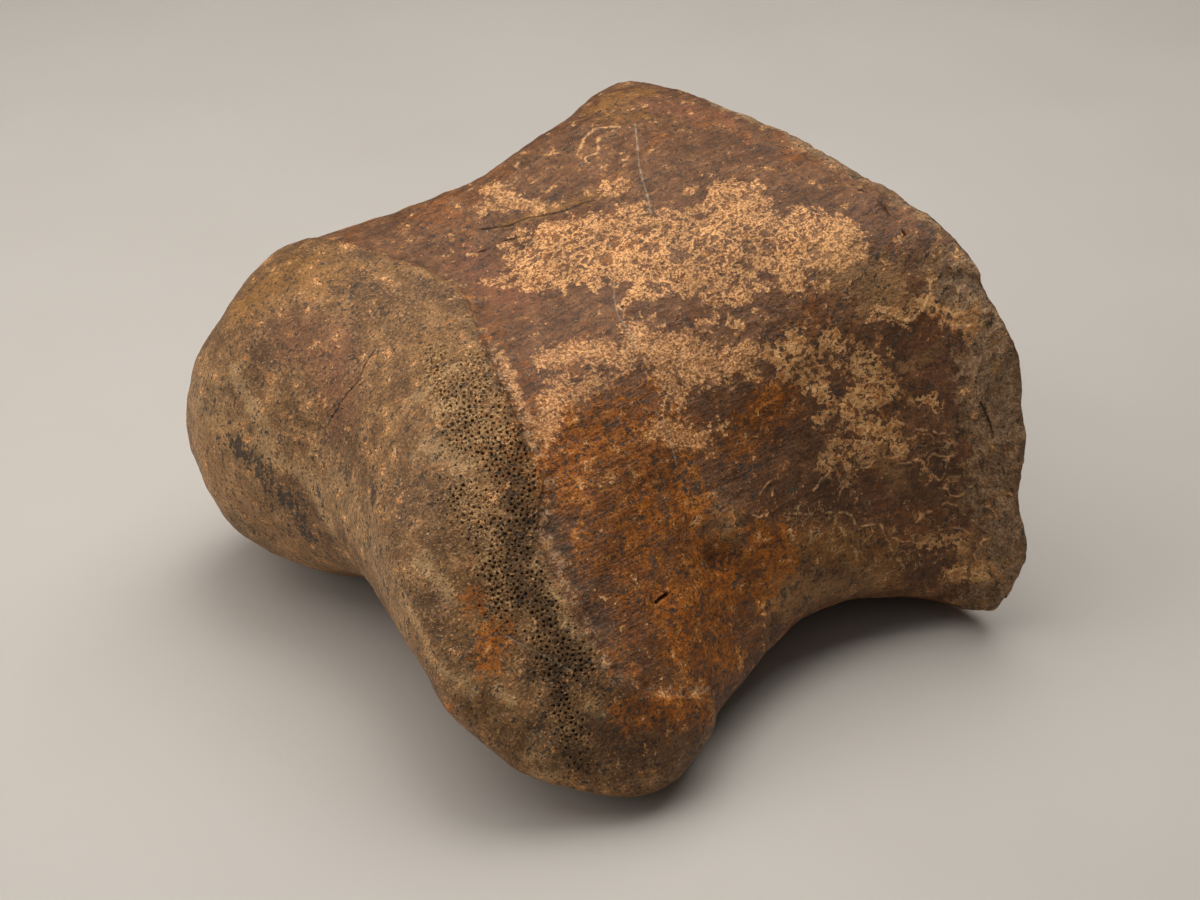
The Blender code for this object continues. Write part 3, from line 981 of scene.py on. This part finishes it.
    # curling root lines
    bend = w.noise(4.0, 3, 0.5, warp=1.6, shift=0.8)
    curl = w.maths("ABSOLUTE", w.maths("SUBTRACT", bend, 0.5))
    curlShare = w.maths("SUBTRACT", 1.0, w.span(curl, 0.006, w.span(mid, 0.4, 0.6, 0.014, 0.034)))
    curlShare = w.times(curlShare, patch("curls", mid, 2.4, grains, 1.6, 0.35, 0.6), w.span(speck, 0.34, 0.46), 0.7)
    colour = w.blend(curlShare, colour, c["pale"])

    # torn edge, single root lines, cracks and pores
    fringe = w.times(w.span(w.plus(w.mask("fringe"), w.swing(speck, 3.4), w.swing(mid, 3.4)), 0.85, 1.1), 0.5)
    colour = w.blend(fringe, colour, w.blend(w.span(fine, 0.4, 0.6), c["peachDeep"], c["fleck"]))
    roots = w.times(w.mask("roots"), w.span(grains, 0.40, 0.5), w.span(speck, 0.34, 0.44))
    colour = w.blend(w.times(roots, 0.75), colour, w.blend(w.span(mid, 0.4, 0.6), c["pale"], c["peach"]))
    colour = w.blend(w.times(w.mask("crackPale"), w.span(grains, 0.38, 0.48), 0.7), colour, c["crackPale"])
    colour = w.blend(w.times(w.mask("crackDark"), w.span(grains, 0.40, 0.54, 0.1, 0.75)), colour, c["hole"])
    pinhole = w.cells(0.95, "F1", w.warped(1.2, 0.2, (1, 1, 1)))
    pinholes = w.times(w.maths("SUBTRACT", 1.0, w.span(pinhole, 0.12, 0.24)), w.mask("joint"), w.span(mid, 0.44, 0.6))
    colour = w.blend(w.times(pinholes, 0.75), colour, c["hole"])
    colour = w.blend(w.times(w.mask("pore"), w.span(grains, 0.36, 0.6, 0.3, 0.7)), colour, c["hole"])

    # the colour is darker in the hollows and paler on the ridges of the relief, and fine grit lies over everything
    reliefTone = w.span(w.mask("height"), 0.25, 0.75, 0.72, 1.2)
    gritty = w.span(fine, 0.28, 0.72, 0.74, 1.3)
    tone = w.tree.nodes.new("ShaderNodeHueSaturation")
    w.put(tone.inputs["Value"], w.times(reliefTone, gritty))
    w.put(tone.inputs["Color"], colour)
    w.put(w.shader.inputs["Base Color"], tone.outputs[0])

    dull = w.maths("MAXIMUM", w.maths("MAXIMUM", net, crust), w.maths("MAXIMUM", w.mask("porous"), w.mask("rim")))
    shine = w.plus(w.span(speck, 0.35, 0.65, 0.40, 0.58), w.times(w.mask("joint"), 0.08), w.times(dull, 0.25))
    w.put(w.shader.inputs["Roughness"], w.maths("MINIMUM", shine, 0.9))
    w.shader.inputs["Specular IOR Level"].default_value = 0.3

    # bump, in mm
    shaft = w.maths("SUBTRACT", 1.0, w.mask("joint"))
    relief = w.plus(
        w.times(fine, 0.12),
        w.times(speck, 0.22),
        w.times(grains, 0.34),
        w.times(streak, shaft, 0.36),
        w.times(wrap, w.mask("grime"), 0.30),
        w.times(fine, w.mask("porous"), 0.35),
    )
    bump = w.tree.nodes.new("ShaderNodeBump")
    bump.inputs["Strength"].default_value = 1.0
    bump.inputs["Distance"].default_value = 1 * mm
    w.put(bump.inputs["Height"], relief)
    w.put(w.shader.inputs["Normal"], bump.outputs[0])
    return material


skin.data.materials.clear()
skin.data.materials.append(fossilBone())
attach(skin, "root")
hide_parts("toe_bone")
print("bone dressed")


# floor and lights

studio = {
    "floor": "#c5bfb7",
    "floorShade": "#bdb6ad",
    "floorSize": 6.0,     # m
    "skyColour": "#e8e6e4",
    "sky": 0.022,
    "lampSize": 0.6,      # m
    "lampAway": 0.6,
    "lamps": (            # degrees from the picture's right round to the back, height in degrees, watts
        (60, 70, 2.45),
        (180, 70, 1.95),
        (190, 22, 1.5),
        (290, 50, 0.2),
    ),
    "lampColour": (1.0, 0.985, 0.965),
}


def layFloor():
    half = studio["floorSize"] / 2
    mesh = bpy.data.meshes.new("paper_floor")
    mesh.from_pydata([(-half, -half, 0), (half, -half, 0), (half, half, 0), (-half, half, 0)], [], [(0, 1, 2, 3)])
    floor = bpy.data.objects.new("paper_floor", mesh)
    bpy.context.scene.collection.objects.link(floor)
    material = bpy.data.materials.new("pale paper")
    w = Wires(material)
    w.put(w.shader.inputs["Base Color"], w.blend(w.noise(60, 3, 0.5), studio["floor"], studio["floorShade"]))
    w.shader.inputs["Roughness"].default_value = 0.75
    mesh.materials.append(material)


def hangLights():
    world = bpy.data.worlds.new("studio")
    bpy.context.scene.world = world
    world.use_nodes = True
    sky = world.node_tree.nodes["Background"]
    sky.inputs["Color"].default_value = tint(studio["skyColour"])
    sky.inputs["Strength"].default_value = studio["sky"]
    right = viewAxes()[0]
    away = Vector((-right.y, right.x, 0))
    for number, (turn, height, watts) in enumerate(studio["lamps"]):
        turn, height = math.radians(turn), math.radians(height)
        level = right * math.cos(turn) + away * math.sin(turn)
        data = bpy.data.lights.new(f"softbox {number + 1}", "AREA")
        data.shape = "DISK"
        data.size = studio["lampSize"]
        data.energy = watts
        data.color = studio["lampColour"]
        lamp = bpy.data.objects.new(f"softbox {number + 1}", data)
        bpy.context.scene.collection.objects.link(lamp)
        lamp.location = (level * math.cos(height) + Vector((0, 0, math.sin(height)))) * studio["lampAway"]
        lamp.rotation_euler = (-lamp.location).to_track_quat("-Z", "Y").to_euler()


layFloor()
hangLights()
bpy.context.scene.view_settings.view_transform = "Standard"
print("studio set")
